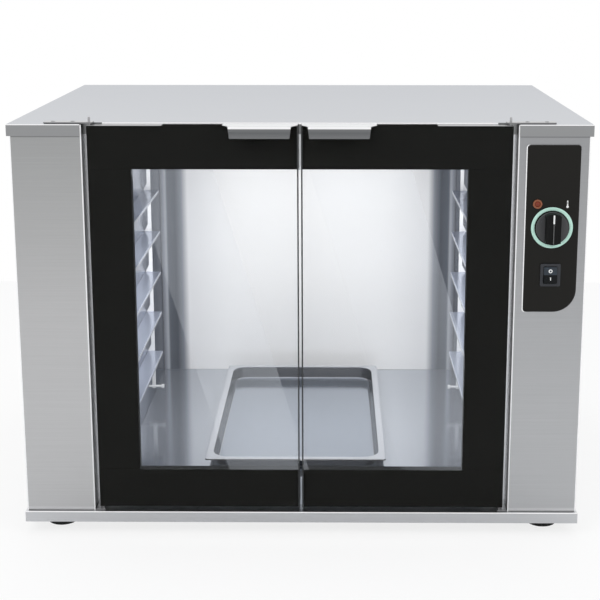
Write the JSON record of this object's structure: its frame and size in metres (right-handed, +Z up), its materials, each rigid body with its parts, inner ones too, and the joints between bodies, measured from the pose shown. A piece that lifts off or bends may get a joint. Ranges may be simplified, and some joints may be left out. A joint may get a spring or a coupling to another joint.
{
  "type": "proofing cabinet",
  "caption": "Counter-top proofing cabinet: stainless body, hinged glass doors, tray runners over a water pan and heated floor, and a control column.",
  "frame": {"origin": "on the surface that the feet stand on, under the middle of the whole object", "axes": "+X to the right as seen from the doors, +Y from the doors to the back, +Z up"},
  "size_m": [0.98, 0.7042, 0.7433],
  "materials": {
    "body_steel": "brushed stainless sheet",
    "liner_steel": "bright stainless sheet",
    "hinge_steel": "zinc-plated steel",
    "heater_steel": "dull steel tube",
    "door_glass": "clear toughened glass",
    "door_border": "gloss black behind the glass",
    "black_plastic": "satin black",
    "mint_plastic": "pale green, matt",
    "amber_lens": "orange-brown lens",
    "foot_rubber": "black rubber",
    "ceramic": "off-white moulding"
  },
  "bodies": {
    "cabinet": {"base_tray": "body_steel", "foot_front_left": "foot_rubber", "foot_front_right": "foot_rubber", "foot_back_left": "foot_rubber", "foot_back_right": "foot_rubber", "top_cover": "body_steel", "left_column": "body_steel", "right_column": "body_steel", "back_panel": "body_steel", "cable_gland": "black_plastic", "chamber_left_wall": "liner_steel", "chamber_right_wall": "liner_steel", "chamber_floor": "liner_steel", "chamber_ceiling": "liner_steel", "chamber_back_wall": "liner_steel", "left_rack_front_upright": "liner_steel", "left_rack_rear_upright": "liner_steel", "left_runner_1": "liner_steel", "left_runner_2": "liner_steel", "left_runner_3": "liner_steel", "left_runner_4": "liner_steel", "left_runner_5": "liner_steel", "right_rack_front_upright": "liner_steel", "right_rack_rear_upright": "liner_steel", "right_runner_1": "liner_steel", "right_runner_2": "liner_steel", "right_runner_3": "liner_steel", "right_runner_4": "liner_steel", "right_runner_5": "liner_steel", "left_top_hinge_plate": "hinge_steel", "left_top_pin": "hinge_steel", "left_bottom_hinge_plate": "hinge_steel", "left_catch_magnet": "black_plastic", "right_top_hinge_plate": "hinge_steel", "right_top_pin": "hinge_steel", "right_bottom_hinge_plate": "hinge_steel", "right_catch_magnet": "black_plastic", "control_plate": "black_plastic", "dial_ring": "mint_plastic", "thermostat_body": "hinge_steel", "thermostat_bulb": "hinge_steel", "indicator_lamp": "amber_lens", "switch_housing": "black_plastic", "heating_element": "heater_steel", "terminal_block": "ceramic"},
    "left_door": {"left_door_glass": "door_glass", "left_door_top_rail": "door_border", "left_door_bottom_rail": "door_border", "left_door_stile": "door_border", "left_door_handle": "body_steel"},
    "right_door": {"right_door_glass": "door_glass", "right_door_top_rail": "door_border", "right_door_bottom_rail": "door_border", "right_door_stile": "door_border", "right_door_handle": "body_steel"},
    "knob": {"temperature_knob": "black_plastic", "thermostat_shaft": "hinge_steel"},
    "rocker": {"switch_rocker": "black_plastic"},
    "pan": {"water_pan": "liner_steel"}
  },
  "joints": [
    {"name": "left_door_hinge", "type": "hinge", "parent": "cabinet", "child": "left_door", "pos_m": [-0.3525, -0.31965, 0.0481], "axis": [0, 0, -1], "range_deg": [0, 110]},
    {"name": "right_door_hinge", "type": "hinge", "parent": "cabinet", "child": "right_door", "pos_m": [0.3525, -0.31965, 0.0481], "axis": [0, 0, 1], "range_deg": [0, 110]},
    {"name": "knob_turn", "type": "hinge", "parent": "cabinet", "child": "knob", "pos_m": [0.4251, -0.33215, 0.5577], "axis": [0, 1, 0], "range_deg": [0, 300]},
    {"name": "rocker_tip", "type": "hinge", "parent": "cabinet", "child": "rocker", "pos_m": [0.4251, -0.33085, 0.4757], "axis": [1, 0, 0], "range_deg": [0, 16]},
    {"name": "pan_lift", "type": "slide", "parent": "cabinet", "child": "pan", "axis": [0, 0, 1], "range_m": [0, 0.12]}
  ]
}
